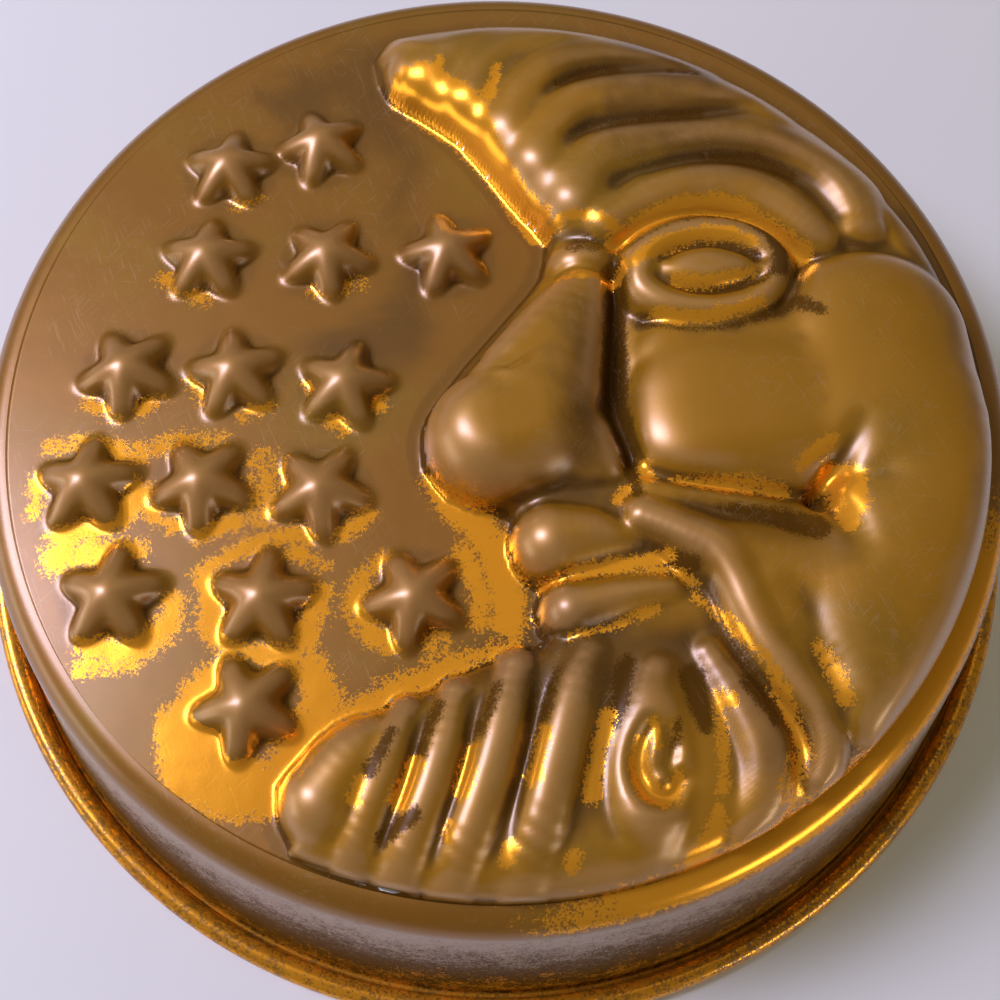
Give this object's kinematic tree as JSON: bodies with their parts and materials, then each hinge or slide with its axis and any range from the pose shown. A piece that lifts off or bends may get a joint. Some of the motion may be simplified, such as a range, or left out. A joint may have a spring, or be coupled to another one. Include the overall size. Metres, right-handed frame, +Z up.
{
  "type": "cake mould",
  "caption": "Round pressed copper cake mould with a leaning wall, a rolled rim and a hollow crescent face and stars raised from its flat top.",
  "frame": {"origin": "on the mould's axis at the level of the underside of its rim, on the floor it stands on", "axes": "+Z up along the mould's axis to the pressed top, +Y towards the tip of the crescent's hair, +X towards the crescent's rounded back"},
  "size_m": [0.26, 0.26, 0.07],
  "materials": {
    "copper": "polished with brown tarnish"
  },
  "bodies": {
    "root": {"mould": "copper"}
  },
  "joints": []
}
